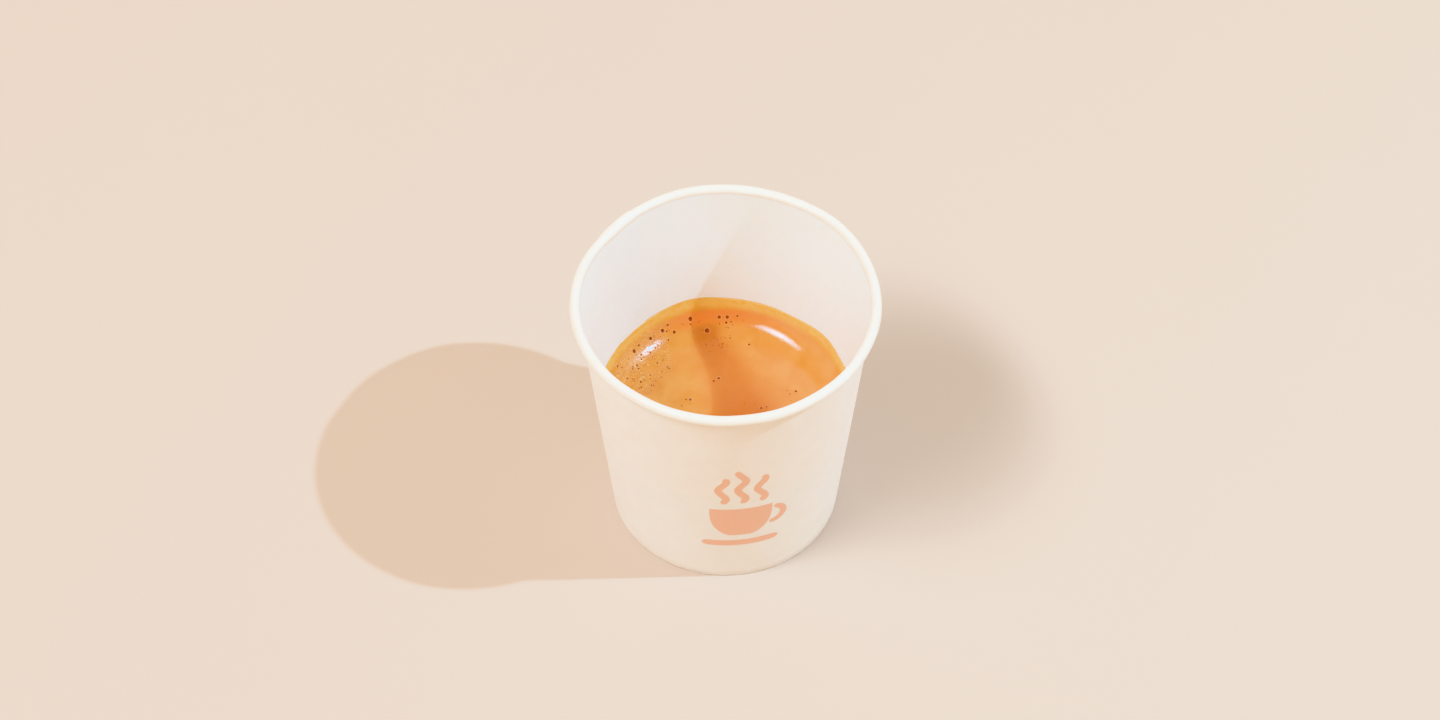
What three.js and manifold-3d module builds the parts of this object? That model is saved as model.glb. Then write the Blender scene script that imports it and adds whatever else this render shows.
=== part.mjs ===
// An espresso shot in a single-wall paper cup: a rolled sheet of coated paperboard with a curled rim and a
// turned-in foot, a recessed base disc whose skirt sits in that foot, the coffee, and the crema on top of it.
// Millimetres, +Z up. The origin is on the table, at the centre of the cup's foot.
import * as THREE from "three";
import { mergeVertices } from "three/addons/utils/BufferGeometryUtils.js";
import Module from "manifold-3d";

const wasm = await Module();
wasm.setup();

// Driving dimensions
const CUP_HEIGHT = 61.3;
const RIM_DIAMETER = 62; // over the rolled rim
const FOOT_DIAMETER = 47.6; // where the wall meets the table
const PAPER = 0.35; // thickness of the coated board
const CURL_DIAMETER = 2.05; // outside of the rolled rim
const CURL_END = -120; // degrees, where the roll's cut edge tucks in under the rim
const HEM_HEIGHT = 6; // wall edge turned up inside the foot
const FOLD_HEIGHT = 0.45; // solid fold under the foot's pocket
const FOOT_CHAMFER = 0.15; // softened edge of the fold
const BASE_RECESS = 6.5; // height of the base disc above the table
const CLEARANCE = 0.1; // between pieces that touch
const SEAM_STEP = 0.2; // the glued overlap stands this much proud
const SEAM_WIDTH = 7;
const SEAM_AZIMUTH = 137; // degrees from +X, the side seam's middle
const SEAM_ROLL_FROM = -70; // degrees round the roll, where the overlap shows as a bump on the rim
const SEAM_ROLL_TO = 120;
const CONTACT_LEVEL = 30.1; // highest line of crema on the wall
const SURFACE_LEVEL = 24; // flat middle of the crema
const COLLAR_WIDTH = 8; // ring where the crema sweeps up to the wall
const COLLAR_FILM = 0.15; // thickness of the crema at its top edge
const CREMA_DEPTH = 3.5; // below the flat middle
const SEGMENTS = 72; // facets round the axis
const ARC_STEPS = 11; // facets along the rolled rim
const COLLAR_STEPS = 8;

// The largest open bubbles, most of them in a row along the back of the collar: azimuth in degrees from +X,
// tilt in degrees up the collar, diameter
const COLLAR_BUBBLES = [
  [84, 57, 0.5],
  [89, 54, 0.75],
  [93, 54, 0.75],
  [89.5, 45, 0.55],
  [100, 34, 1.0],
  [107.5, 57, 0.9],
  [117.5, 45, 0.7],
  [119.5, 60, 0.5],
  [123, 55, 0.85],
  [130.5, 54, 0.75],
  [138, 57, 0.5],
  [142, 55, 0.8],
  [155, 61, 0.5],
  [75, 13, 0.5],
  [154, 15, 0.5],
];
// The same on the flat middle: azimuth, distance from the axis, diameter
const MIDDLE_BUBBLES = [
  [98, 9.9, 0.7],
  [105, 9.4, 0.55],
  [151, 8.4, 0.6],
  [23, 16, 0.65],
  [13.5, 7.7, 0.6],
];
const BUBBLE_RISE = 0.2; // the bubble's centre above the surface, as a share of its diameter

// Derived sizes
const CURL_RADIUS = CURL_DIAMETER / 2;
const FOOT_RADIUS = FOOT_DIAMETER / 2;
const CURL_CENTRE = new THREE.Vector2(RIM_DIAMETER / 2 - CURL_RADIUS, CUP_HEIGHT - CURL_RADIUS);
const TAPER = (CURL_CENTRE.x - CURL_RADIUS + PAPER - FOOT_RADIUS) / CURL_CENTRE.y;
const CURL_START = 180 - THREE.MathUtils.radToDeg(Math.atan(TAPER));
const POCKET = PAPER + 2 * CLEARANCE; // slot in the foot for the base's skirt
const COLLAR_HEIGHT = CONTACT_LEVEL - SURFACE_LEVEL;
const CREMA_BOTTOM = SURFACE_LEVEL - CREMA_DEPTH;

const wallOuter = (z) => FOOT_RADIUS + TAPER * z;
const wallInner = (z) => wallOuter(z) - PAPER;
const drinkRadius = (z) => wallInner(z) - CLEARANCE;

const paperWhite = new THREE.MeshStandardMaterial({ color: 0xf1e9dd, roughness: 0.7, metalness: 0 });
const paperBase = new THREE.MeshStandardMaterial({ color: 0xece3d6, roughness: 0.75, metalness: 0 });
const coffeeBrown = new THREE.MeshStandardMaterial({ color: 0x2b1408, roughness: 0.15, metalness: 0 });
const cremaGold = new THREE.MeshStandardMaterial({ color: 0xdf8b3f, roughness: 0.35, metalness: 0 });

// Points along an arc, both ends included; angles in degrees, from +r towards +z
function arc(centre, radius, from, to, steps) {
  const points = [];
  for (let i = 0; i <= steps; i++) {
    const angle = THREE.MathUtils.degToRad(from + ((to - from) * i) / steps);
    points.push(new THREE.Vector2(centre.x + radius * Math.cos(angle), centre.y + radius * Math.sin(angle)));
  }
  return points;
}

// Turns an outline of (radius, height) points round the vertical axis
function turned(outline) {
  return new THREE.LatheGeometry(outline, SEGMENTS).rotateX(Math.PI / 2);
}

// A closed geometry as a solid for joining and cutting
function solidOf(geometry) {
  const bare = new THREE.BufferGeometry().setAttribute("position", geometry.getAttribute("position"));
  if (geometry.index) bare.setIndex(geometry.index);
  const merged = mergeVertices(bare, 1e-4);
  const vertProperties = new Float32Array(merged.getAttribute("position").array);
  const corners = merged.index.array;
  const triVerts = [];
  for (let i = 0; i < corners.length; i += 3) {
    const [a, b, c] = corners.subarray(i, i + 3);
    if (a !== b && b !== c && c !== a) triVerts.push(a, b, c); // a lathe's triangles close up on the axis
  }
  return new wasm.Manifold(
    new wasm.Mesh({ numProp: 3, vertProperties, triVerts: new Uint32Array(triVerts) }),
  );
}

function geometryOf(solid) {
  const mesh = solid.getMesh();
  const geometry = new THREE.BufferGeometry();
  geometry.setAttribute("position", new THREE.BufferAttribute(mesh.vertProperties, 3));
  geometry.setIndex(new THREE.BufferAttribute(mesh.triVerts, 1));
  geometry.computeVertexNormals();
  return geometry;
}

// The wall sheet in section: up the outside, round the rolled rim, down the inside, round the turned-in foot
function wallOutline() {
  const hemOuter = (z) => wallInner(z) - POCKET;
  const hemInner = (z) => hemOuter(z) - PAPER;
  const outline = [
    new THREE.Vector2(wallOuter(0) - FOOT_CHAMFER, 0),
    new THREE.Vector2(wallOuter(FOOT_CHAMFER), FOOT_CHAMFER),
    ...arc(CURL_CENTRE, CURL_RADIUS - PAPER, CURL_START, CURL_END, ARC_STEPS),
    ...arc(CURL_CENTRE, CURL_RADIUS, CURL_END, CURL_START, ARC_STEPS),
    new THREE.Vector2(wallInner(FOLD_HEIGHT), FOLD_HEIGHT),
    new THREE.Vector2(hemOuter(FOLD_HEIGHT), FOLD_HEIGHT),
    new THREE.Vector2(hemOuter(HEM_HEIGHT), HEM_HEIGHT),
    new THREE.Vector2(hemInner(HEM_HEIGHT), HEM_HEIGHT),
    new THREE.Vector2(hemInner(FOOT_CHAMFER), FOOT_CHAMFER),
    new THREE.Vector2(hemInner(0) + FOOT_CHAMFER, 0),
  ];
  outline.push(outline[0].clone());
  return outline;
}

// The second layer of the glued overlap in section, rooted in the middle of the first: on wall and roll
function seamOutlines() {
  const root = PAPER / 2;
  const low = 2 * FOOT_CHAMFER;
  const high = CURL_CENTRE.y - CURL_RADIUS - PAPER;
  const wall = [
    new THREE.Vector2(wallOuter(low) - root, low),
    new THREE.Vector2(wallOuter(low) + SEAM_STEP, low),
    new THREE.Vector2(wallOuter(high) + SEAM_STEP, high),
    new THREE.Vector2(wallOuter(high) - root, high),
  ];
  const roll = [
    ...arc(CURL_CENTRE, CURL_RADIUS + SEAM_STEP, SEAM_ROLL_FROM, SEAM_ROLL_TO, ARC_STEPS),
    ...arc(CURL_CENTRE, CURL_RADIUS - root, SEAM_ROLL_TO, SEAM_ROLL_FROM, ARC_STEPS),
  ];
  return [wall, roll].map((outline) => [...outline, outline[0].clone()]);
}

// A tall wedge from the axis outwards, to cut the seam's strip out of a full turn
function seamWedge() {
  const reach = RIM_DIAMETER;
  const half = SEAM_WIDTH / RIM_DIAMETER;
  const wedge = new THREE.Shape()
    .moveTo(0, 0)
    .lineTo(reach * Math.cos(half), -reach * Math.sin(half))
    .lineTo(reach * Math.cos(half), reach * Math.sin(half))
    .closePath();
  return new THREE.ExtrudeGeometry(wedge, { depth: 2 * CUP_HEIGHT, bevelEnabled: false })
    .rotateZ(THREE.MathUtils.degToRad(SEAM_AZIMUTH))
    .translate(0, 0, -CUP_HEIGHT / 2);
}

function cupWall() {
  const wedge = solidOf(seamWedge());
  let sheet = solidOf(turned(wallOutline()));
  for (const outline of seamOutlines()) sheet = sheet.add(solidOf(turned(outline)).intersect(wedge));
  return geometryOf(sheet);
}

// The base: a flat disc whose edge is turned down into a skirt that fills the foot's pocket
function cupBase() {
  const skirtOuter = (z) => wallInner(z) - CLEARANCE;
  const skirtInner = (z) => skirtOuter(z) - PAPER;
  const skirtFoot = FOLD_HEIGHT + CLEARANCE;
  const top = BASE_RECESS + PAPER;
  return turned([
    new THREE.Vector2(0, BASE_RECESS),
    new THREE.Vector2(skirtInner(BASE_RECESS), BASE_RECESS),
    new THREE.Vector2(skirtInner(skirtFoot), skirtFoot),
    new THREE.Vector2(skirtOuter(skirtFoot), skirtFoot),
    ...arc(new THREE.Vector2(skirtInner(BASE_RECESS), BASE_RECESS), PAPER, 0, 90, 3),
    new THREE.Vector2(0, top),
  ]);
}

function coffee() {
  const bottom = BASE_RECESS + PAPER + CLEARANCE;
  const top = CREMA_BOTTOM - CLEARANCE;
  return turned([
    new THREE.Vector2(0, bottom),
    new THREE.Vector2(drinkRadius(bottom), bottom),
    new THREE.Vector2(drinkRadius(top), top),
    new THREE.Vector2(0, top),
  ]);
}

// A point on the collar, a quarter ellipse from the flat middle (tilt 0) to its top edge (tilt 90)
function collarPoint(tilt) {
  const angle = THREE.MathUtils.degToRad(tilt);
  const height = SURFACE_LEVEL + COLLAR_HEIGHT * (1 - Math.cos(angle));
  const radius = drinkRadius(height) - COLLAR_FILM - (COLLAR_WIDTH - COLLAR_FILM) * (1 - Math.sin(angle));
  return new THREE.Vector2(radius, height);
}

// Each bubble as a ball that cuts the surface
function bubbleBalls() {
  const places = [
    ...COLLAR_BUBBLES.map(([azimuth, tilt, diameter]) => [azimuth, collarPoint(tilt), diameter]),
    ...MIDDLE_BUBBLES.map(([azimuth, radius, diameter]) => [
      azimuth,
      new THREE.Vector2(radius, SURFACE_LEVEL),
      diameter,
    ]),
  ];
  return places.map(([azimuth, place, diameter]) =>
    new THREE.SphereGeometry(diameter / 2, 8, 6)
      .rotateX(Math.PI / 2)
      .translate(place.x, 0, place.y + BUBBLE_RISE * diameter)
      .rotateZ(THREE.MathUtils.degToRad(azimuth)),
  );
}

function crema() {
  const outline = [
    new THREE.Vector2(0, CREMA_BOTTOM),
    new THREE.Vector2(drinkRadius(CREMA_BOTTOM), CREMA_BOTTOM),
    new THREE.Vector2(drinkRadius(CONTACT_LEVEL), CONTACT_LEVEL),
  ];
  for (let i = 0; i <= COLLAR_STEPS; i++) outline.push(collarPoint(90 - (90 * i) / COLLAR_STEPS));
  outline.push(new THREE.Vector2(0, SURFACE_LEVEL));
  let foam = solidOf(turned(outline));
  for (const ball of bubbleBalls()) foam = foam.subtract(solidOf(ball));
  return geometryOf(foam);
}

const espresso = new THREE.Group();
for (const [name, geometry, material] of [
  ["cup_wall", cupWall(), paperWhite],
  ["cup_base", cupBase(), paperBase],
  ["coffee", coffee(), coffeeBrown],
  ["crema", crema(), cremaGold],
]) {
  const piece = new THREE.Mesh(geometry, material);
  piece.name = name;
  espresso.add(piece);
}

export default espresso;
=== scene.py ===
# %% [markdown]
# # An espresso shot in a paper cup
# The frame holds the cup and the drink as plain solids at their real size. In this lesson each piece that
# shows is made again with the detail that the eye looks for: the roll of the rim, the glued seam, the fibre
# of the board, the collar of crema on the wall and the bubbles in it. Nothing is moved or resized: every
# piece stays where its solid is, and rides on the same body.

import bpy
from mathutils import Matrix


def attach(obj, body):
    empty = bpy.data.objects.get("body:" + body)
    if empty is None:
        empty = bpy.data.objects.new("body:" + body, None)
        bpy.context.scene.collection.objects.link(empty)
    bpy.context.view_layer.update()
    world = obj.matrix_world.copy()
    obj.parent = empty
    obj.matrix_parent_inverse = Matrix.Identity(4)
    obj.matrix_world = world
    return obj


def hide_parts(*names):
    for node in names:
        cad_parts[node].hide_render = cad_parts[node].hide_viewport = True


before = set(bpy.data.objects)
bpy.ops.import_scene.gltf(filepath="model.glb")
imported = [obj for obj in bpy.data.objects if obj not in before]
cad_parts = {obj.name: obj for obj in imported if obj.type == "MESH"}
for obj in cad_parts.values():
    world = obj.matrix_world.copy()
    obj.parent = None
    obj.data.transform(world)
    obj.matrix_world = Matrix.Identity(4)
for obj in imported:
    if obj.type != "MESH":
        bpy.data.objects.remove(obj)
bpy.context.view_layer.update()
print("solids in the frame:", sorted(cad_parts))

# %% [markdown]
# ## Sizes
# The sizes of a cup are talked about in millimetres, so they are written that way here. One number turns
# them into metres where Blender needs those. The cup is a cone, so one slope gives the wall's radius at any
# height. NumPy is used because every piece is worked out from whole arrays of points.

# %% Driving dimensions, in millimetres and degrees
import math

import bpy
import numpy as np
from mathutils import Matrix, Vector
from mathutils.geometry import delaunay_2d_cdt

MM = 0.001
CUP_HEIGHT = 61.3
RIM_RADIUS = 31.0
FOOT_RADIUS = 23.8
PAPER = 0.35
CURL_RADIUS = 1.025
BASE_RECESS = 6.5
CLEARANCE = 0.1
TURNS = 480  # steps round the axis

CURL_CENTRE = (RIM_RADIUS - CURL_RADIUS, CUP_HEIGHT - CURL_RADIUS)
TAPER = (CURL_CENTRE[0] - CURL_RADIUS + PAPER - FOOT_RADIUS) / CURL_CENTRE[1]


def wall_outer(height):
    return FOOT_RADIUS + TAPER * height


def wall_inner(height):
    return wall_outer(height) - PAPER


print("wall leans out by", round(math.degrees(math.atan(TAPER)), 2), "degrees")

# %% [markdown]
# ## The camera
# The photograph looks down on the cup by about 51 degrees through a long lens, which keeps the rim and the
# foot close to the same scale. The lens follows from the focal length in pixels: on a 36 mm sensor, 1440
# pixels wide, 3200 pixels are 80 mm. A camera without rotation looks straight down, so it is tilted up from
# there.

# %% Camera
IMAGE_WIDTH = 1440
FOCAL_PIXELS = 3200
SENSOR_WIDTH = 36.0
CAMERA_ELEVATION = 50.9
CAMERA_DISTANCE = 649.7
CAMERA_AIM = Vector((-1.125, 0.0, 42.03))

lens = bpy.data.cameras.new("camera")
lens.sensor_width = SENSOR_WIDTH
lens.lens = FOCAL_PIXELS * SENSOR_WIDTH / IMAGE_WIDTH
camera = bpy.data.objects.new("camera", lens)
camera_turn = Matrix.Rotation(math.radians(90 - CAMERA_ELEVATION), 3, "X")
camera.rotation_euler = camera_turn.to_euler()
camera.location = (CAMERA_AIM + CAMERA_DISTANCE * (camera_turn @ Vector((0, 0, 1)))) * MM
bpy.context.scene.collection.objects.link(camera)
bpy.context.scene.camera = camera
print("lens", lens.lens, "mm, camera at", [round(v, 4) for v in camera.location])

# %% [markdown]
# ## Colours and nodes
# Colours are picked as sRGB hex values, as any picture editor shows them, but shaders mix light in linear
# numbers, so one function converts them. Another adds a node: its settings are keywords, and its inputs are
# either plain values or the outputs of other nodes, which it links.


# %% Helpers for materials
def linear(hex_colour):
    channels = [int(hex_colour[i : i + 2], 16) / 255 for i in (1, 3, 5)]
    return tuple(c / 12.92 if c <= 0.04045 else ((c + 0.055) / 1.055) ** 2.4 for c in channels) + (1.0,)


def add(owner, kind, inputs, **settings):
    node = owner.node_tree.nodes.new("ShaderNode" + kind)
    for name, value in settings.items():
        setattr(node, name, value)
    for name, value in inputs.items():
        if isinstance(value, bpy.types.NodeSocket):
            owner.node_tree.links.new(value, node.inputs[name])
        else:
            node.inputs[name].default_value = value
    return node


def new_material(name):
    material = bpy.data.materials.new(name)
    material.use_nodes = True
    return material, material.node_tree.nodes["Principled BSDF"]


def per_mm(size):
    return 1 / (size * MM)  # a texture's scale, from the real size of its grain


print("linear value of mid grey:", round(linear("#808080")[0], 3))

# %% [markdown]
# ## Floor and light
# The set is seamless studio paper in a warm cream: matte, with a grain too fine to see from here. Three
# lights do the work. A small hard lamp on the right draws the crisp shadow on the left. A soft box on the
# left, towards the front, fills it and leaves a soft shadow on the right. Like a real one it is brightest
# in its middle, so that its reflections in the crema have soft ends. The room's own pale walls light all
# the rest.

# %% Studio paper for the floor
FLOOR_COLOUR = "#d2c0b0"
FLOOR_SIZE = 4.0  # metres
FLOOR_CLOUDS = 40.0

studio_paper, shader = new_material("matte_studio_paper")
where = add(studio_paper, "TexCoord", {})
clouds = add(
    studio_paper,
    "TexNoise",
    {"Vector": where.outputs["Object"], "Scale": per_mm(FLOOR_CLOUDS), "Detail": 3},
)
cream = add(
    studio_paper,
    "Mix",
    {"Factor": clouds.outputs["Fac"], 6: linear("#d0beae"), 7: linear(FLOOR_COLOUR)},
    data_type="RGBA",
)
studio_paper.node_tree.links.new(cream.outputs[2], shader.inputs["Base Color"])
shader.inputs["Roughness"].default_value = 0.9
shader.inputs["Specular IOR Level"].default_value = 0.2

corner = FLOOR_SIZE / 2
floor_mesh = bpy.data.meshes.new("studio_floor")
corners = [(-corner, -corner, 0), (corner, -corner, 0), (corner, corner, 0), (-corner, corner, 0)]
floor_mesh.from_pydata(corners, [], [(0, 1, 2, 3)])
floor_mesh.materials.append(studio_paper)
floor = bpy.data.objects.new("studio_floor", floor_mesh)
bpy.context.scene.collection.objects.link(floor)
print("floor", FLOOR_SIZE, "m square")

# %% Lights
KEY_PLACE = Vector((0.760, -0.082, 0.903))  # metres from the foot of the cup
KEY_SIZE = 0.010
KEY_POWER = 38.1
KEY_COLOUR = (0.385, 0.69, 1.0)
FILL_PLACE = Vector((-0.965, -0.535, 1.668))
FILL_WIDTH = 1.25
FILL_HEIGHT = 0.50
FILL_POWER = 31.9
FILL_COLOUR = (0.64, 0.81, 1.0)
FILL_EDGE = 0.2  # how bright the box is at its edge and its middle; the mean over it is 1
FILL_MIDDLE = 3.26
ROOM_COLOUR = (0.85, 0.64, 0.425, 1.0)

key = bpy.data.lights.new("key_lamp", "POINT")
key.shadow_soft_size = KEY_SIZE
key.energy = KEY_POWER
key.color = KEY_COLOUR
fill = bpy.data.lights.new("soft_box", "AREA")
fill.shape = "RECTANGLE"
fill.size = FILL_WIDTH
fill.size_y = FILL_HEIGHT
fill.energy = FILL_POWER
fill.color = FILL_COLOUR
fill.use_nodes = True
across = add(fill, "NewGeometry", {}).outputs["Parametric"]  # 0 to 1 along both sides of the box
# the same from -1 to 1, so that the middle is 0
centred = add(fill, "Mapping", {"Vector": across, "Scale": (2, 2, 1), "Location": (-1, -1, 0)})
bulb = add(fill, "TexGradient", {"Vector": centred.outputs[0]}, gradient_type="SPHERICAL")
glow = add(fill, "MapRange", {"Value": bulb.outputs["Fac"], "To Min": FILL_EDGE, "To Max": FILL_MIDDLE})
fill.node_tree.links.new(glow.outputs[0], fill.node_tree.nodes["Emission"].inputs["Strength"])
for light, place in ((key, KEY_PLACE), (fill, FILL_PLACE)):
    lamp = bpy.data.objects.new(light.name, light)
    lamp.location = place
    lamp.rotation_euler = place.to_track_quat("Z", "Y").to_euler()
    bpy.context.scene.collection.objects.link(lamp)

room = bpy.data.worlds.new("pale_room")
room.use_nodes = True
room.node_tree.nodes["Background"].inputs["Color"].default_value = ROOM_COLOUR
bpy.context.scene.world = room
bpy.context.scene.view_settings.view_transform = "Khronos PBR Neutral"
print("lights:", [light.name for light in bpy.data.lights])

# %% [markdown]
# ## Cup stock
# Paper cups are made of bleached board. The outside is bare and matte, with a soft mottle where the fibres
# lie closer or looser. The inside has a thin film of polyethylene that makes it tight, whiter and a little
# satin. The rim is the inside rolled outwards, so it is the lined face that shows there too, a touch warmer
# where the roll has stretched it thin.


# %% Board, bare and lined
FIBRE = 0.5  # mm; real fibres are finer, this is as coarse as it needs to be to show
MOTTLE = 5.0
LIGHT_DEPTH = 0.3  # how far light strays inside the board: a cup glows a little


def cup_board(name, light, dark, roughness, fibre_depth):
    material, shader = new_material(name)
    where = add(material, "TexCoord", {}).outputs["Object"]
    mottle = add(material, "TexNoise", {"Vector": where, "Scale": per_mm(MOTTLE), "Detail": 2})
    fibre = add(
        material, "TexNoise", {"Vector": where, "Scale": per_mm(FIBRE), "Detail": 4, "Roughness": 0.6}
    )
    both = add(material, "Math", {0: mottle.outputs["Fac"], 1: fibre.outputs["Fac"]}, operation="MULTIPLY")
    share = add(material, "MapRange", {"Value": both.outputs[0], "From Min": 0.12, "From Max": 0.4})
    tone = add(
        material, "Mix", {"Factor": share.outputs[0], 6: linear(dark), 7: linear(light)}, data_type="RGBA"
    )
    bump = add(
        material, "Bump", {"Height": fibre.outputs["Fac"], "Distance": fibre_depth * MM, "Strength": 0.6}
    )
    material.node_tree.links.new(tone.outputs[2], shader.inputs["Base Color"])
    material.node_tree.links.new(bump.outputs[0], shader.inputs["Normal"])
    shader.inputs["Roughness"].default_value = roughness
    shader.inputs["IOR"].default_value = 1.5
    shader.inputs["Subsurface Weight"].default_value = 0.7
    shader.inputs["Subsurface Radius"].default_value = (1.0, 0.9, 0.8)
    shader.inputs["Subsurface Scale"].default_value = LIGHT_DEPTH * MM
    return material


bare_board = cup_board("bare_bleached_paperboard", "#f6f1eb", "#f1ebe4", 0.62, 0.02)
lined_board = cup_board("polyethylene_lined_paperboard", "#f3f8f9", "#eff4f5", 0.38, 0.01)
rim_board = cup_board("rolled_rim_paperboard", "#fbf3ea", "#f7efe5", 0.38, 0.01)
print("board materials:", bare_board.name, lined_board.name, rim_board.name)

# %% [markdown]
# ## The wall
# A cup's wall is one fan-shaped sheet, wrapped round a cone and glued where its edges overlap. Its top is
# rolled outwards, and its foot is turned in and up round the base. A Screw modifier could turn the section,
# but the seam has to break the symmetry, so the section is laid out as points and swept by array
# arithmetic. Each point knows which face of the sheet it is on: the overlap lifts the two faces at
# different places, which leaves one fine edge outside, one inside, and a small notch in the rim.


# %% Section of the wall
CURL_START = 180 - math.degrees(math.atan(TAPER))
CURL_END = -120
HEM_HEIGHT = 6.0
FOLD_HEIGHT = 0.45
FOLD_ROUND = 0.22
POCKET = PAPER + 2 * CLEARANCE
OUTSIDE_STOP = 0.2  # how far below the roll's middle the straight faces end
INSIDE_STOP = 0.3


def arc(centre, radius, start, end, count):
    angle = np.radians(np.linspace(start, end, count))
    return np.stack([centre[0] + radius * np.cos(angle), centre[1] + radius * np.sin(angle)], axis=1)


def cone_line(offset, low, high, count):
    height = np.linspace(low, high, count)
    return np.stack([wall_outer(height) - offset, height], axis=1)


hem_outer = PAPER + POCKET
hem_inner = hem_outer + PAPER
outside = cone_line(0, FOLD_ROUND, CURL_CENTRE[1] - OUTSIDE_STOP, 34)
roll_inside = arc(CURL_CENTRE, CURL_RADIUS - PAPER, CURL_START, CURL_END, 26)
roll_outside = arc(CURL_CENTRE, CURL_RADIUS, CURL_END, CURL_START, 40)
inside = cone_line(PAPER, CURL_CENTRE[1] - INSIDE_STOP, FOLD_HEIGHT, 34)
hem = np.concatenate(
    [
        cone_line(hem_outer, FOLD_HEIGHT, HEM_HEIGHT, 4),
        cone_line(hem_inner, HEM_HEIGHT, FOLD_ROUND, 8),
        arc((wall_outer(0) - hem_inner + FOLD_ROUND, FOLD_ROUND), FOLD_ROUND, 190, 270, 5),
        arc((wall_outer(0) - FOLD_ROUND, FOLD_ROUND), FOLD_ROUND, 270, 350, 5),
    ]
)
section = np.concatenate([outside, roll_inside, roll_outside, inside, hem])
OUTSIDE, ROLL_INSIDE, ROLL_OUTSIDE, INSIDE, HEM = range(5)
lengths = [len(outside), len(roll_inside), len(roll_outside), len(inside), len(hem)]
face_of_sheet = np.repeat(np.arange(5), lengths)
print("points in the section:", len(section))

# %% [markdown]
# The overlap is 13 degrees wide. Outside, the surface climbs onto it slowly and drops off its cut edge at
# once. Inside and on the roll it is the other way round. Two columns of points 0.06 degrees apart make each
# cut edge. A paper rim is never a true circle either: fingers and stacking leave it a little in or out here
# and there, so slow waves and three wider lumps sway it.

# %% Seam and small unevenness
SEAM_INNER_EDGE = 130.0
SEAM_OUTER_EDGE = 143.0
SEAM_STEP = 0.2
SEAM_RAMP = 6.0
EDGE = 0.03  # half of that gap
EDGE_CLEAR = 0.2  # degrees beside a cut edge that hold no other column
RIM_SWAY = 0.10
RIM_DIP = 0.12
RIM_LUMPS = [(43, 15, 0.38), (104, 11, 0.22), (143, 13, -0.35)]  # azimuth, spread in degrees, mm outwards


def smooth(value, low, high):
    share = np.clip((value - low) / (high - low), 0, 1)
    return share * share * (3 - 2 * share)


def between(value, rise_from, rise_to, fall_from, fall_to):
    return smooth(value, rise_from, rise_to) * (1 - smooth(value, fall_from, fall_to))


edges = [e + side * EDGE for e in (SEAM_INNER_EDGE, SEAM_OUTER_EDGE) for side in (-1, 1)]
even = np.arange(TURNS) * 360 / TURNS
keep = np.min(np.abs(even[:, None] - np.array(edges)), axis=1) > EDGE_CLEAR
azimuth = np.sort(np.concatenate([even[keep], edges]))
lift_outside = smooth(azimuth, SEAM_INNER_EDGE - SEAM_RAMP, SEAM_INNER_EDGE) * (azimuth < SEAM_OUTER_EDGE)
lift_inside = 1 - smooth(azimuth, SEAM_OUTER_EDGE, SEAM_OUTER_EDGE + SEAM_RAMP)
lift_inside *= azimuth > SEAM_INNER_EDGE

rng = np.random.default_rng(7)


def wave(angle, counts, size):
    total = np.zeros_like(angle)
    for count in counts:
        total += rng.normal() / count * np.sin(count * np.radians(angle) + rng.uniform(0, 2 * math.pi))
    return size * total


def lumps(angle, table):
    away = [(angle - centre + 180) % 360 - 180 for centre, _, _ in table]
    return sum(size * np.exp(-((a / spread) ** 2)) for a, (_, spread, size) in zip(away, table))


rim_sway = wave(azimuth, range(2, 14), RIM_SWAY) + lumps(azimuth, RIM_LUMPS)
rim_dip = wave(azimuth, range(2, 20), RIM_DIP)
print("rim wavers by", round(float(np.ptp(rim_dip)), 2), "mm")


# %% Make a piece and turn a section
def mesh_piece(name, points, faces, *materials):
    mesh = bpy.data.meshes.new(name)
    mesh.from_pydata((np.asarray(points) * MM).tolist(), [], faces)
    for material in materials:
        mesh.materials.append(material)
    mesh.shade_smooth()
    piece = bpy.data.objects.new(name, mesh)
    bpy.context.scene.collection.objects.link(piece)
    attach(piece, "root")
    return piece


def ring_faces(columns, rows):
    column, row = np.meshgrid(np.arange(columns), np.arange(rows), indexing="ij")
    next_column, next_row = (column + 1) % columns, (row + 1) % rows
    quads = [column * rows + row, next_column * rows + row]
    quads += [next_column * rows + next_row, column * rows + next_row]
    return np.stack(quads, axis=-1).reshape(-1, 4).tolist()


def turned_points(radius, height, angle):
    turn = np.radians(angle)[:, None]
    return np.stack([radius * np.cos(turn), radius * np.sin(turn), height], axis=-1).reshape(-1, 3)


print("columns round the wall:", len(azimuth))

# %% Sweep the wall
SEAM_SPAN = (0.3, 1.5, 56.5, 58.0)  # the overlap fades in above the fold and out below the roll
SEAM_RISE = 3.0  # inside it fades in over this height above the base
SWAY_SPAN = (40.0, 60.0)  # heights over which the rim's sway and dip set in
DIP_SPAN = (52.0, 58.5)
SHARP = math.radians(35)

radius = np.tile(section[:, 0], (len(azimuth), 1))
height = np.tile(section[:, 1], (len(azimuth), 1))
free_wall = between(section[:, 1], *SEAM_SPAN)
radius += SEAM_STEP * np.outer(lift_outside, free_wall * (face_of_sheet == OUTSIDE))
above_base = smooth(section[:, 1], BASE_RECESS, BASE_RECESS + SEAM_RISE)
radius -= SEAM_STEP * np.outer(lift_inside, above_base * (face_of_sheet == INSIDE))
roll_out = (section - CURL_CENTRE) / CURL_RADIUS * (face_of_sheet == ROLL_OUTSIDE)[:, None]
radius += SEAM_STEP * np.outer(lift_inside, roll_out[:, 0])
height += SEAM_STEP * np.outer(lift_inside, roll_out[:, 1])
radius += np.outer(rim_sway, smooth(section[:, 1], *SWAY_SPAN))
height += np.outer(rim_dip, smooth(section[:, 1], *DIP_SPAN))

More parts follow.
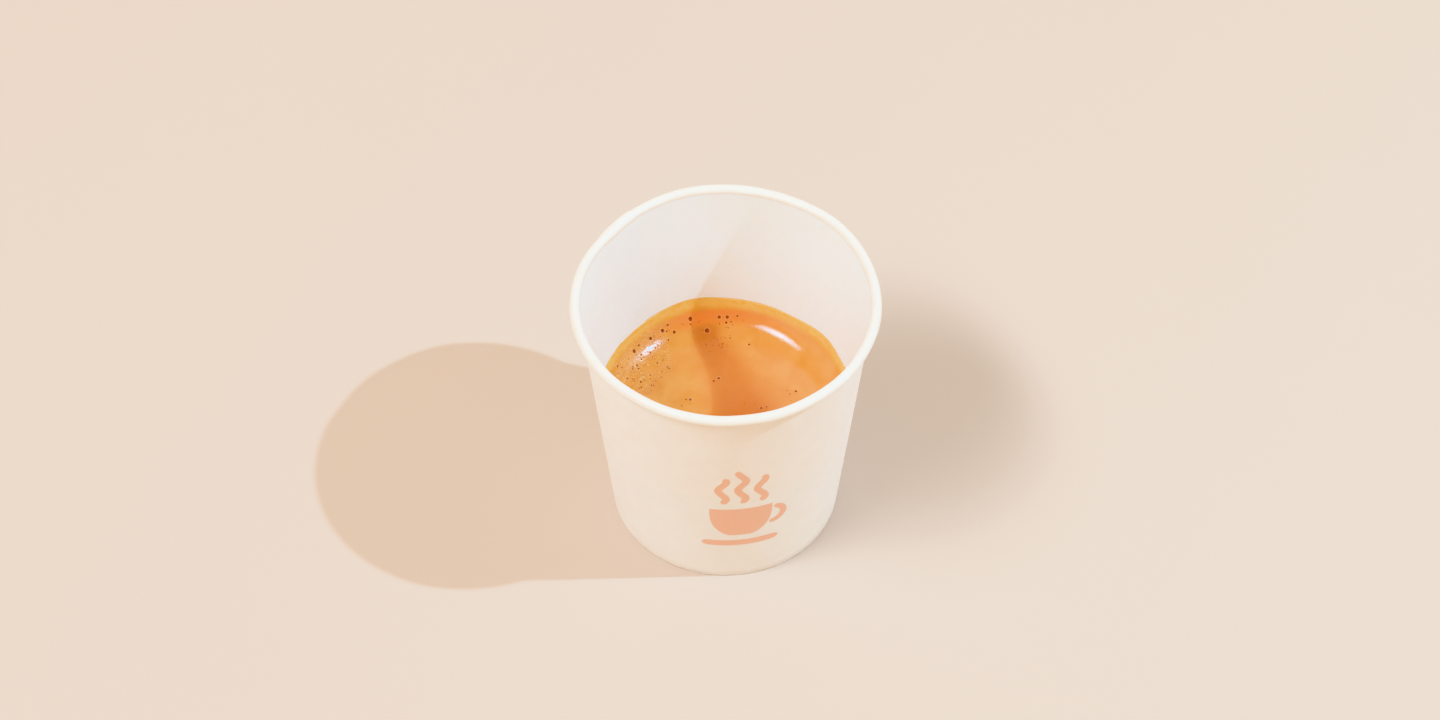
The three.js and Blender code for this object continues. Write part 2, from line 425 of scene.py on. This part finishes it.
wall = mesh_piece(
    "paper_cup_wall",
    turned_points(radius, height, azimuth),
    ring_faces(len(azimuth), len(section)),
    bare_board,
    lined_board,
    rim_board,
)
finish = 1 * (face_of_sheet == INSIDE) + 2 * (face_of_sheet == ROLL_OUTSIDE)
wall.data.polygons.foreach_set("material_index", np.tile(finish.astype(np.int32), len(azimuth)))
wall.data.set_sharp_from_angle(angle=SHARP)
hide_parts("cup_wall")
print(wall.name, len(wall.data.polygons), "faces")

# %% [markdown]
# ## The base
# A separate disc of the same board, lined on top. Its edge is turned down into a skirt that the foot's hem
# grips. Under the cup it is the raised, bare disc that one sees inside the foot ring.

# %% Base disc with its skirt
SKIRT_FOOT = FOLD_HEIGHT + CLEARANCE
BEND = 0.5  # inner radius of the turned edge
BASE_TURNS = 180

skirt_outer = PAPER + CLEARANCE
skirt_inner = skirt_outer + PAPER
bend_centre = (wall_outer(BASE_RECESS) - skirt_inner - BEND, BASE_RECESS - BEND)
disc = np.linspace(0, bend_centre[0], 24)[1:-1]
base_section = np.concatenate(
    [
        np.stack([disc, np.full_like(disc, BASE_RECESS)], axis=1),
        arc(bend_centre, BEND, 90, 5, 7),
        cone_line(skirt_inner, BASE_RECESS - 2 * BEND, SKIRT_FOOT, 6),
        cone_line(skirt_outer, SKIRT_FOOT, BASE_RECESS - 2 * BEND, 6),
        arc(bend_centre, BEND + PAPER, 5, 90, 9),
        np.stack([disc[::-1], np.full_like(disc, BASE_RECESS + PAPER)], axis=1),
    ]
)
base_turn = np.arange(BASE_TURNS) * 360 / BASE_TURNS
rows = len(base_section)
base_radius = np.tile(base_section[:, 0], (len(base_turn), 1))
base_height = np.tile(base_section[:, 1], (len(base_turn), 1))
base_points = turned_points(base_radius, base_height, base_turn)
middles = [(0, 0, BASE_RECESS), (0, 0, BASE_RECESS + PAPER)]
below, above = len(base_points), len(base_points) + 1
base_faces = [f for f in ring_faces(len(base_turn), rows) if {f[0] % rows, f[3] % rows} != {0, rows - 1}]
starts = [column * rows for column in range(len(base_turn))]
for here, there in zip(starts, starts[1:] + starts[:1]):
    base_faces += [(below, there, here), (here + rows - 1, there + rows - 1, above)]
base = mesh_piece("paper_cup_base", np.concatenate([base_points, middles]), base_faces, bare_board)
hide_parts("cup_base")
print(base.name, len(base.data.polygons), "faces")

# %% [markdown]
# ## The print
# Plain stock cups often carry a small one-colour pictogram on the front. Here it is the general sign for a
# hot drink: a bowl with a handle, a saucer and three wisps of steam, in peach ink. A picture texture would
# do, but the mark is only a few strokes, so each is a small grid of points on the flat sheet that is
# wrapped round the cone. The ink is a closed skin: it stands just proud of the board and its underside lies
# just inside it.

# %% Strokes of the mark, in millimetres on the flat sheet
MARK_AZIMUTH = -83.0
MARK_HEIGHT = 25.0  # of its middle above the table
INK_ABOVE = 0.02
INK_BELOW = 0.03
INK_PATCH = 0.6
BOWL_TOP = 1.4  # above the mark's middle
BOWL_DEEP = 10.0
BOWL_HALF = 6.5
BOWL_POINT = 10.5  # depth at which the bowl's sides would meet
BOWL_BELLY = 2.8  # the larger, the fuller the bowl
SAUCER_HALF = 8.0
SAUCER_HEIGHT = -11.6
SAUCER_STROKE = 2.0
HANDLE_CENTRE = (6.2, -2.6)
HANDLE_RADIUS = 2.8
HANDLE_STROKE = 1.5
STEAM_TOPS = ((-4.0, 13.0), (0.0, 15.6), (4.0, 13.0))  # middle and top of each wisp
STEAM_STROKE = 1.6
STEAM_FOOT = 3.6
STEAM_SWAY = 0.8
STEAM_TURN = 0.95  # radians a millimetre
END_BLUNT = 14  # the larger, the blunter the ends of a stroke
END_LEAST = 0.02  # keeps the ends from closing to a point


def stroke(path, width, across=5):
    along = np.gradient(path, axis=0)
    along /= np.hypot(*along.T)[:, None]
    side = np.stack([along[:, 1], -along[:, 0]], axis=1)
    share = np.abs(np.linspace(-1, 1, len(path)))
    rounded = np.clip(1 - share**END_BLUNT, END_LEAST, 1) ** 0.5
    spread = np.linspace(-0.5, 0.5, across)
    return path[:, None] + side[:, None] * (width * rounded)[:, None, None] * spread[None, :, None]


def steam(middle, low, high):
    height = np.linspace(low, high, 41)
    return np.stack([middle + STEAM_SWAY * np.sin((height - low) * STEAM_TURN), height], axis=1)


bowl_height = np.linspace(BOWL_TOP - BOWL_DEEP, BOWL_TOP, 25)
bowl_half = BOWL_HALF * np.clip(1 - ((BOWL_TOP - bowl_height) / BOWL_POINT) ** BOWL_BELLY, 0, 1) ** 0.5
bowl = np.stack(
    np.broadcast_arrays(bowl_half[:, None] * np.linspace(-1, 1, 25), bowl_height[:, None]), axis=-1
)
saucer_line = np.stack([np.linspace(-SAUCER_HALF, SAUCER_HALF, 33), np.full(33, SAUCER_HEIGHT)], axis=1)
saucer = stroke(saucer_line, SAUCER_STROKE)
handle = stroke(arc(HANDLE_CENTRE, HANDLE_RADIUS, 75, -95, 33), HANDLE_STROKE)
wisps = [stroke(steam(middle, STEAM_FOOT, top), STEAM_STROKE) for middle, top in STEAM_TOPS]
patches = [bowl, saucer, handle, *wisps]
print("strokes in the mark:", len(patches))


# %% Wrap the mark round the cup
def wrapped(patch, above):
    height = MARK_HEIGHT + patch[..., 1]
    radius = wall_outer(height) + above
    turn = np.radians(MARK_AZIMUTH) + patch[..., 0] / wall_outer(height)
    return np.stack([radius * np.cos(turn), radius * np.sin(turn), height], axis=-1).reshape(-1, 3)


def skin_faces(rows, columns):
    index = np.arange(rows * columns).reshape(rows, columns)
    top = np.stack([index[:-1, :-1], index[:-1, 1:], index[1:, 1:], index[1:, :-1]], axis=-1).reshape(-1, 4)
    rim = np.concatenate([index[0, :-1], index[:-1, -1], index[-1, :0:-1], index[:0:-1, 0]])
    sides = np.stack([rim, rim + index.size, np.roll(rim, -1) + index.size, np.roll(rim, -1)], axis=1)
    return np.concatenate([top, top[:, ::-1] + index.size, sides])


ink, shader = new_material("water_based_print_ink")
where = add(ink, "TexCoord", {}).outputs["Object"]
patchy = add(ink, "TexNoise", {"Vector": where, "Scale": per_mm(INK_PATCH), "Detail": 3})
peach = add(
    ink,
    "Mix",
    {"Factor": patchy.outputs["Fac"], 6: linear("#f4bb9b"), 7: linear("#fbcbb0")},
    data_type="RGBA",
)
ink.node_tree.links.new(peach.outputs[2], shader.inputs["Base Color"])
shader.inputs["Roughness"].default_value = 0.55

mark_points, mark_faces, count = [], [], 0
for patch in patches:
    mark_points += [wrapped(patch, INK_ABOVE), wrapped(patch, -INK_BELOW)]
    mark_faces += (skin_faces(*patch.shape[:2]) + count).tolist()
    count += 2 * patch.shape[0] * patch.shape[1]
mark = mesh_piece("printed_mark", np.concatenate(mark_points), mark_faces, ink)
mark.data.set_sharp_from_angle(angle=SHARP)
print(mark.name, len(mark.data.polygons), "faces")

# %% [markdown]
# ## The coffee under the crema
# Espresso is a dark brown liquid that lets almost no light through. Only its place matters here: the crema
# floats on it and covers it to the wall, so the solid from the frame stays, with a liquid's finish.

# %% Espresso liquid
OIL_PATCH = 8.0

espresso, shader = new_material("espresso_liquid")
where = add(espresso, "TexCoord", {}).outputs["Object"]
oils = add(espresso, "TexNoise", {"Vector": where, "Scale": per_mm(OIL_PATCH), "Detail": 2})
brown = add(
    espresso,
    "Mix",
    {"Factor": oils.outputs["Fac"], 6: linear("#1c0a04"), 7: linear("#331507")},
    data_type="RGBA",
)
espresso.node_tree.links.new(brown.outputs[2], shader.inputs["Base Color"])
shader.inputs["Roughness"].default_value = 0.08
shader.inputs["IOR"].default_value = 1.34
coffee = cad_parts["coffee"]
coffee.data.materials.clear()
coffee.data.materials.append(espresso)
print("coffee node wears", espresso.name)

# %% [markdown]
# ## The crema
# Crema is a fine wet foam of coffee oils. It lies flat in the middle and sweeps up to the wall in a collar,
# thin and pale at its top edge. The surface is described by how far a point is from the axis *along* the
# surface, because the collar ends almost upright, where a plain radius would pinch the points together.

# %% Profile of the crema
CONTACT_LEVEL = 30.1
SURFACE_LEVEL = 24.0
COLLAR_WIDTH = 8.0
COLLAR_FILM = 0.15
CREMA_BOTTOM = 20.5
INTO_WALL = 0.12  # the foam reaches this far into the board, so that no gap shows

tilt = np.radians(np.linspace(0, 90, 181))
collar_height = SURFACE_LEVEL + (CONTACT_LEVEL - SURFACE_LEVEL) * (1 - np.cos(tilt))
collar_radius = wall_inner(collar_height) - COLLAR_FILM
collar_radius -= (COLLAR_WIDTH - COLLAR_FILM) * (1 - np.sin(tilt))
steps = np.hypot(np.diff(collar_radius), np.diff(collar_height))
collar_reach = collar_radius[0] + np.concatenate([[0], np.cumsum(steps)])
REACH = float(collar_reach[-1])
TOE = float(collar_reach[0])


def profile(reach):
    radius = np.where(reach < TOE, reach, np.interp(reach, collar_reach, collar_radius))
    return radius, np.interp(reach, collar_reach, collar_height)


def reach_of_tilt(degrees):
    return float(np.interp(math.radians(degrees), tilt, collar_reach))


print("flat out to", round(TOE, 2), "mm, contact line at", round(REACH, 2), "mm along the surface")

# %% [markdown]
# ### Bubbles
# The largest bubbles stand where the solid has them, most in a row along the back of the collar. A few
# smaller ones go on along its near side, which the rim hides from the camera. The fine ones are drawn at
# random from a fixed seed: a loose necklace between the large ones, a speckled patch on the left, small
# clusters and a thin scatter over the rest. Each is a place on the flattened surface and a diameter.

# %% Places of the bubbles
# azimuth, turn of the collar and diameter
COLLAR_BUBBLES = [
    (84, 57, 0.5), (89, 54, 0.75), (93, 54, 0.75), (89.5, 45, 0.55), (100, 34, 1.0), (107.5, 57, 0.9),
    (117.5, 45, 0.7), (119.5, 60, 0.5), (123, 55, 0.85), (130.5, 54, 0.75), (138, 57, 0.5), (142, 55, 0.8),
    (155, 61, 0.5), (75, 13, 0.5), (154, 15, 0.5),
]
# azimuth, reach and diameter
MIDDLE_BUBBLES = [(98, 9.9, 0.7), (105, 9.4, 0.55), (151, 8.4, 0.6), (23, 16.0, 0.65), (13.5, 7.7, 0.6)]
NEAR_BUBBLES = [
    (204, 23.6, 0.45), (213, 24.3, 0.35), (226, 23.2, 0.5), (241, 24.4, 0.4), (249, 22.8, 0.3),
    (262, 23.9, 0.5), (277, 24.5, 0.35), (288, 23.0, 0.45), (305, 24.2, 0.4), (321, 23.5, 0.5),
    (228, 15.5, 0.4), (292, 14.5, 0.45),
]
# azimuth from and to, reach from and to, diameter from and to, how many
FINE_BUBBLES = [
    (78, 158, 22.3, 25.0, 0.18, 0.42, 80),
    (130, 160, 16.5, 23.0, 0.18, 0.42, 45),
    (84, 106, 17.0, 21.5, 0.16, 0.36, 26),
    (0, 360, 3.0, 24.5, 0.12, 0.26, 120),
]
CLUSTERS = [(101, 9.6), (154, 8.8), (22, 15.4), (14, 7.7), (152, 17.5), (88, 19.5), (250, 13.0), (310, 17.0)]
CLUSTER_SIZE = 6
CLUSTER_SPREAD = 0.8
CLUSTER_DIAMETER = (0.15, 0.4)
BUBBLE_SPACING = 1.15  # two bubbles stay apart by this many times the sum of their radii

bubbles = [(a, reach_of_tilt(t), d) for a, t, d in COLLAR_BUBBLES] + MIDDLE_BUBBLES + NEAR_BUBBLES
for a0, a1, r0, r1, d0, d1, count in FINE_BUBBLES:
    for _ in range(count):
        small = rng.random() ** 2
        bubbles.append((rng.uniform(a0, a1), rng.uniform(r0, r1), d0 + (d1 - d0) * small))
for a, r in CLUSTERS:
    for _ in range(CLUSTER_SIZE):
        turn = math.degrees(rng.normal() * CLUSTER_SPREAD / r)
        bubbles.append((a + turn, r + rng.normal() * CLUSTER_SPREAD, rng.uniform(*CLUSTER_DIAMETER)))
bubbles = np.array(bubbles)
turn = np.radians(bubbles[:, 0])
centres = bubbles[:, 1:2] * np.stack([np.cos(turn), np.sin(turn)], axis=1)
sizes = bubbles[:, 2] / 2
free = np.ones(len(bubbles), bool)
for i in range(1, len(bubbles)):
    gap = np.hypot(*(centres[:i] - centres[i]).T) - BUBBLE_SPACING * (sizes[:i] + sizes[i])
    free[i] = gap[free[:i]].min() > 0
centres, sizes = centres[free], sizes[free]
print("bubbles kept:", len(sizes))

# %% [markdown]
# ### One skin from loose points
# Rings of points round every bubble and a coarser net between them are joined by Delaunay triangles. So the
# mesh is fine where a bubble needs it and light where the crema is smooth. A plain grid fine enough for the
# bubbles would take millions of faces.

# %% Points and triangles of the crema's top
NET_MIDDLE = 0.75
NET_COLLAR = 0.32
EDGE_POINTS = 560
EDGE_MARGIN = 0.1  # no other points this close to the contact line
RING_TWIST = 0.618  # turns each ring of the net a little further, so that no spokes line up
BUBBLE_RINGS = (0.0, 0.4, 0.7, 0.88, 0.98, 1.06, 1.25, 1.6)  # in radii of the bubble
BUBBLE_CLEAR = 1.75  # the net starts this many radii from its middle
RING_DENSITY = 60  # points in a ring for each millimetre of the radius
RING_POINTS = (8, 20)  # the fewest and the most
MERGE = 1e-5


def ring(radius, count, phase=0.0):
    angle = (np.arange(count) + phase) * 2 * math.pi / count
    return radius * np.stack([np.cos(angle), np.sin(angle)], axis=1)


net = [np.zeros((1, 2))]
reach = NET_MIDDLE
while reach < REACH - NET_COLLAR:
    step = NET_MIDDLE if reach < TOE - 1 else NET_COLLAR
    net.append(ring(reach, round(2 * math.pi * reach / step), phase=len(net) * RING_TWIST))
    reach += step
net = np.concatenate(net)
for centre, size in zip(centres, sizes):
    net = net[np.hypot(*(net - centre).T) > BUBBLE_CLEAR * size]
circles = []
for centre, size in zip(centres, sizes):
    count = int(np.clip(size * RING_DENSITY, *RING_POINTS))
    for i, share in enumerate(BUBBLE_RINGS):
        circles.append(centre + ring(share * size, count if share else 1, phase=0.5 * i))
flat = np.concatenate([net, *circles])
flat = flat[np.hypot(*flat.T) < REACH - EDGE_MARGIN]
flat = np.concatenate([flat, ring(REACH, EDGE_POINTS)])
made = delaunay_2d_cdt([Vector(p) for p in flat.tolist()], [], [], 0, MERGE)
flat = np.array([tuple(p) for p in made[0]])
triangles = [tuple(face) for face in made[2]]
print("crema top:", len(flat), "points,", len(triangles), "triangles")

# %% [markdown]
# Each point is then lifted onto the profile. The contact line wavers, as foam clings unevenly to board: it
# stands highest at the back, where the stream last pushed it up. The middle has slow, very shallow swells.
# Where a bubble has burst, the skin dips into a bowl with a slightly raised lip. Six numbers are stored
# with each point for the finish: how deep it lies in a bowl, how far it is on a lip, how thin the foam is,
# how frothy (the left side is full of tiny whole bubbles), how much painted shadow it takes, a darker zone
# where the soft box's shadow falls beside the lamp's shadow line, and how much painted shade, in a redder
# band below the pale edge at the back.

# %% Shape of the crema
EDGE_WAVER = 0.12
# azimuth, spread in degrees, mm up the wall
EDGE_LUMPS = [(106, 18, 1.1), (57, 10, -0.6), (22, 8, -0.7), (40, 6, 0.2), (158, 14, -0.4)]
SWELL = 0.05
SWELL_SPAN = (2.0, 12.0)  # the swells set in between these distances from the middle
BOWL_DEPTH = 0.75  # share of the bubble's radius
LIP = 0.10
LIP_AT = 1.12  # in radii of the bubble
LIP_SPREAD = 0.18
LIP_SIZES = (0.12, 0.3)  # radii from which the lip is paler, and from which fully so
PIT_SIZES = (0.03, 0.18)  # the same for the darker bowl
PIT_FULL = 0.7  # share of the bowl's depth at which it is darkest
# painted shadow: the soft box's shadow beside the lamp's shadow line, as a darker zone in the crema's colour
PAINTED_SHADOW_FROM = (4.5, 1.0)  # where the painted shadow is widest and darkest, and the line along which it narrows
PAINTED_SHADOW_TO = (-4.0, 21.0)
PAINTED_SHADOW_HALF = (10.0, 4.0)  # half its width at both ends
PAINTED_SHADOW_MIDWAY = 0.55  # share of the line at which the painted shadow is faintest
PAINTED_SHADOW_DEPTH = (1.0, 0.72, 0.85)  # how dark it is at the start, midway and at the end
PAINTED_SHADOW_FADE = (0.2, 1.3)  # where it starts and stops fading, as shares of that half
FILM_SPAN = (-3.0, -0.9)  # from the contact line, along the surface
# painted shade: a redder band below the pale edge, at the back where the lamp's shadow falls
SHADE_BAND_SPAN = (-6.5, -4.0, -3.0, -1.8)
SHADE_BAND_AZIMUTH = (35, 95, 105, 135)
FROTH_AZIMUTH = (116, 130, 158, 172)
FROTH_START = (15.0, 19.0)  # from the middle
FROTH_END = (-1.5, -0.2)

reach = np.hypot(*flat.T)
angle = np.degrees(np.arctan2(flat[:, 1], flat[:, 0]))
radius, height = profile(reach)
climb = np.clip((reach - TOE) / (REACH - TOE), 0, 1)
lift = (wave(angle, range(2, 40), EDGE_WAVER) + lumps(angle, EDGE_LUMPS)) * climb**4
lift += (1 - climb) * wave(angle, range(2, 7), SWELL) * smooth(reach, *SWELL_SPAN)
height = height + lift
radius = radius + TAPER * lift
seam_lift = SEAM_STEP * np.interp(angle % 360, azimuth, lift_inside)
radius -= seam_lift * climb**4  # at the wall the foam follows its seam
turned = np.interp(reach, collar_reach, tilt)  # 0 flat, a quarter turn at the wall
collar_rise = (CONTACT_LEVEL - SURFACE_LEVEL) * np.sin(turned)
slope = np.arctan2(collar_rise, (COLLAR_WIDTH - COLLAR_FILM) * np.cos(turned))
dip = np.zeros(len(flat))
pit = np.zeros(len(flat))
lip = np.zeros(len(flat))
for centre, size in zip(centres, sizes):
    away = np.hypot(*(flat - centre).T) / size
    bowl = np.sqrt(np.clip(1 - away**2, 0, 1))
    dip -= BOWL_DEPTH * size * bowl
    raised = np.exp(-(((away - LIP_AT) / LIP_SPREAD) ** 2))
    dip += LIP * size * raised
    lip = np.maximum(lip, raised * smooth(size, *LIP_SIZES))
    pit = np.maximum(pit, smooth(bowl, 0.0, PIT_FULL) * smooth(size, *PIT_SIZES))
radius -= dip * np.sin(slope)
height += dip * np.cos(slope)
turn = np.radians(angle)
top = np.stack([radius * np.cos(turn), radius * np.sin(turn), height], axis=1)
film = smooth(reach - REACH, *FILM_SPAN)
# painted shade: a redder band below the pale edge, in the lamp's shadow at the back
painted_band_shade = between(reach - REACH, *SHADE_BAND_SPAN) * between(angle, *SHADE_BAND_AZIMUTH)
# painted shadow: a darker zone beside the lamp's shadow line, where the soft box's shadow falls
shadow_along = (top[:, 1] - PAINTED_SHADOW_FROM[1]) / (PAINTED_SHADOW_TO[1] - PAINTED_SHADOW_FROM[1])
shadow_along_clipped = np.clip(shadow_along, 0, 1)
aside = top[:, 0] - np.interp(shadow_along_clipped, (0, 1), (PAINTED_SHADOW_FROM[0], PAINTED_SHADOW_TO[0]))
beyond = np.maximum(0, np.abs(shadow_along - shadow_along_clipped) * (PAINTED_SHADOW_TO[1] - PAINTED_SHADOW_FROM[1]))
painted_fill_shadow = 1 - smooth(np.hypot(aside, beyond) / np.interp(shadow_along_clipped, (0, 1), PAINTED_SHADOW_HALF), *PAINTED_SHADOW_FADE)
painted_fill_shadow *= np.interp(shadow_along_clipped, (0, PAINTED_SHADOW_MIDWAY, 1), PAINTED_SHADOW_DEPTH)
froth = between(angle, *FROTH_AZIMUTH) * smooth(reach, *FROTH_START) * (1 - smooth(reach - REACH, *FROTH_END))
print("deepest bowl", round(float(-dip.min()), 2), "mm")

# %% Close the crema
EDGE_RISE = 0.02  # the top edge turns over just short of the wall
EDGE_SHORT = 0.06
ON_EDGE = 0.01  # points this close to the contact line are on it

edge = np.flatnonzero(reach > REACH - ON_EDGE)
edge = edge[np.argsort(angle[edge])]
edge_turn = turn[edge]
edge_height = height[edge]
under = []
bottom = np.full_like(edge_height, CREMA_BOTTOM)
for level, out in ((edge_height + EDGE_RISE, -EDGE_SHORT), (edge_height, INTO_WALL), (bottom, INTO_WALL)):
    r = wall_inner(level) + out
    under.append(np.stack([r * np.cos(edge_turn), r * np.sin(edge_turn), level], axis=1))
under.append(np.array([[0, 0, CREMA_BOTTOM]]))
loops = [edge] + [len(top) + k * len(edge) + np.arange(len(edge)) for k in range(3)]
faces = list(triangles)
for upper, lower in zip(loops[:-1], loops[1:]):
    quads = np.stack([upper, lower, np.roll(lower, -1), np.roll(upper, -1)], axis=1)
    faces += [tuple(q) for q in quads.tolist()]
middle = len(top) + 3 * len(edge)
faces += [(middle, b, a) for a, b in zip(loops[-1].tolist(), np.roll(loops[-1], -1).tolist())]
points = np.concatenate([top, *under])
print("crema:", len(points), "points")

# %% [markdown]
# ### Crema's finish
# A wet foam scatters light just below its skin, so it glows softly and has no hard shading. Its skin is
# smooth liquid with a film of oil on it, so lamps show in it as clear streaks: a coat over the foam's own
# gloss makes them strong enough, and froth is rougher, which breaks them up. Oils and fine coffee dust
# mottle it in tan and rust. The thin film on the wall is paler, and a burst bubble looks dark, because one
# sees past the foam. Some light and shade is painted into the colour too: pale glints on the froth's tiny
# bubbles, a darker zone where the soft box's shadow falls beside the lamp's shadow line, and a redder band
# of shade below the pale edge at the back.

# %% Crema foam
MOTTLE_CREMA = 5.0
STREAK = 1.4
FOAM_CELL = 0.35
FROTH_CELL = 0.45  # tiny whole bubbles are finer still; this is the finest that shows
FOAM_RELIEF = 0.02
FROTH_RELIEF = 0.03

foam, shader = new_material("crema_foam")
where = add(foam, "TexCoord", {}).outputs["Object"]
pit_share, lip_share, film_share, froth_share, fill_shadow_share, band_shade_share = (
    add(foam, "Attribute", {}, attribute_name=name).outputs["Fac"]
    for name in ("pit", "lip", "film", "froth", "painted_fill_shadow", "painted_band_shade")
)
mottle = add(
    foam, "TexNoise", {"Vector": where, "Scale": per_mm(MOTTLE_CREMA), "Detail": 3, "Distortion": 0.6}
)
streak = add(foam, "TexNoise", {"Vector": where, "Scale": per_mm(STREAK), "Detail": 3, "Distortion": 1.2})
cells = add(foam, "TexNoise", {"Vector": where, "Scale": per_mm(FOAM_CELL), "Detail": 2})
patchy = add(foam, "MapRange", {"Value": mottle.outputs["Fac"], "From Min": 0.3, "From Max": 0.7})
rust = add(
    foam, "Mix", {"Factor": patchy.outputs[0], 6: linear("#e29542"), 7: linear("#eca555")}, data_type="RGBA"
)
fleck = add(
    foam, "MapRange", {"Value": streak.outputs["Fac"], "From Min": 0.62, "From Max": 0.8, "To Max": 0.35}
)
flecked = add(
    foam, "Mix", {"Factor": fleck.outputs[0], 6: rust.outputs[2], 7: linear("#c8742c")}, data_type="RGBA"
)
# painted shadow of the soft box, darker beside the lamp's shadow line
fill_shadowed = add(
    foam, "Mix", {"Factor": fill_shadow_share, 6: flecked.outputs[2], 7: linear("#cd7735")}, data_type="RGBA"
)
# painted shade: a redder band below the pale edge at the back
band_shaded = add(
    foam, "Mix", {"Factor": band_shade_share, 6: fill_shadowed.outputs[2], 7: linear("#f29044")}, data_type="RGBA"
)
uneven = add(foam, "MapRange", {"Value": streak.outputs["Fac"], "From Min": 0.35, "From Max": 0.65})
edge_tone = add(
    foam, "Mix", {"Factor": uneven.outputs[0], 6: linear("#ffbf62"), 7: linear("#ffcb77")}, data_type="RGBA"
)
thin = add(
    foam, "Mix", {"Factor": film_share, 6: band_shaded.outputs[2], 7: edge_tone.outputs[2]}, data_type="RGBA"
)
domes = add(foam, "TexVoronoi", {"Vector": where, "Scale": per_mm(FROTH_CELL)}, feature="SMOOTH_F1")
# painted glints: paler tops of the froth's tiny bubbles, where the lamp's highlight breaks up
glint_spot = add(
    foam, "MapRange", {"Value": domes.outputs["Distance"], "From Min": 0.32, "From Max": 0.12, "To Max": 0.6}
)
froth_glints = add(foam, "Math", {0: glint_spot.outputs[0], 1: froth_share}, operation="MULTIPLY")
glinted = add(
    foam, "Mix", {"Factor": froth_glints.outputs[0], 6: thin.outputs[2], 7: linear("#ffd79e")}, data_type="RGBA"
)
pale = add(foam, "MapRange", {"Value": lip_share, "To Max": 0.5})
lipped = add(
    foam, "Mix", {"Factor": pale.outputs[0], 6: glinted.outputs[2], 7: linear("#f2bd80")}, data_type="RGBA"
)
burst = add(
    foam, "Mix", {"Factor": pit_share, 6: lipped.outputs[2], 7: linear("#a8440c")}, data_type="RGBA"
)
froth_height = add(foam, "Math", {0: domes.outputs["Distance"], 1: froth_share}, operation="MULTIPLY")
fine = add(foam, "Bump", {"Height": cells.outputs["Fac"], "Distance": FOAM_RELIEF * MM, "Strength": 0.5})
bump = add(
    foam,
    "Bump",
    {"Height": froth_height.outputs[0], "Distance": FROTH_RELIEF * MM, "Normal": fine.outputs[0]},
    invert=True,
)
wetness = add(foam, "MapRange", {"Value": froth_share, "To Min": 0.08, "To Max": 0.25})
foam.node_tree.links.new(burst.outputs[2], shader.inputs["Base Color"])
foam.node_tree.links.new(wetness.outputs[0], shader.inputs["Roughness"])
foam.node_tree.links.new(bump.outputs[0], shader.inputs["Normal"])
shader.inputs["IOR"].default_value = 1.47
shader.inputs["Coat Weight"].default_value = 0.38
shader.inputs["Coat Roughness"].default_value = 0.08
shader.inputs["Coat IOR"].default_value = 1.47
shader.inputs["Subsurface Weight"].default_value = 0.25
shader.inputs["Subsurface Radius"].default_value = (1.0, 0.42, 0.12)
shader.inputs["Subsurface Scale"].default_value = 1.2 * MM
print("material:", foam.name)

# %% Crema piece
WALL_EDGE = math.radians(70)  # the turn at the wall is sharper than this, so it is left unsmoothed

crema = mesh_piece("crema_foam", points, faces, foam)
crema.data.set_sharp_from_angle(angle=WALL_EDGE)
shares = {"pit": pit, "lip": lip, "film": film, "froth": froth, "painted_fill_shadow": painted_fill_shadow, "painted_band_shade": painted_band_shade}
for name, values in shares.items():
    stored = crema.data.attributes.new(name, "FLOAT", "POINT")
    padded = np.zeros(len(points), np.float32)
    padded[: len(values)] = values
    stored.data.foreach_set("value", padded)
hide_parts("crema")
print(crema.name, len(crema.data.polygons), "faces")
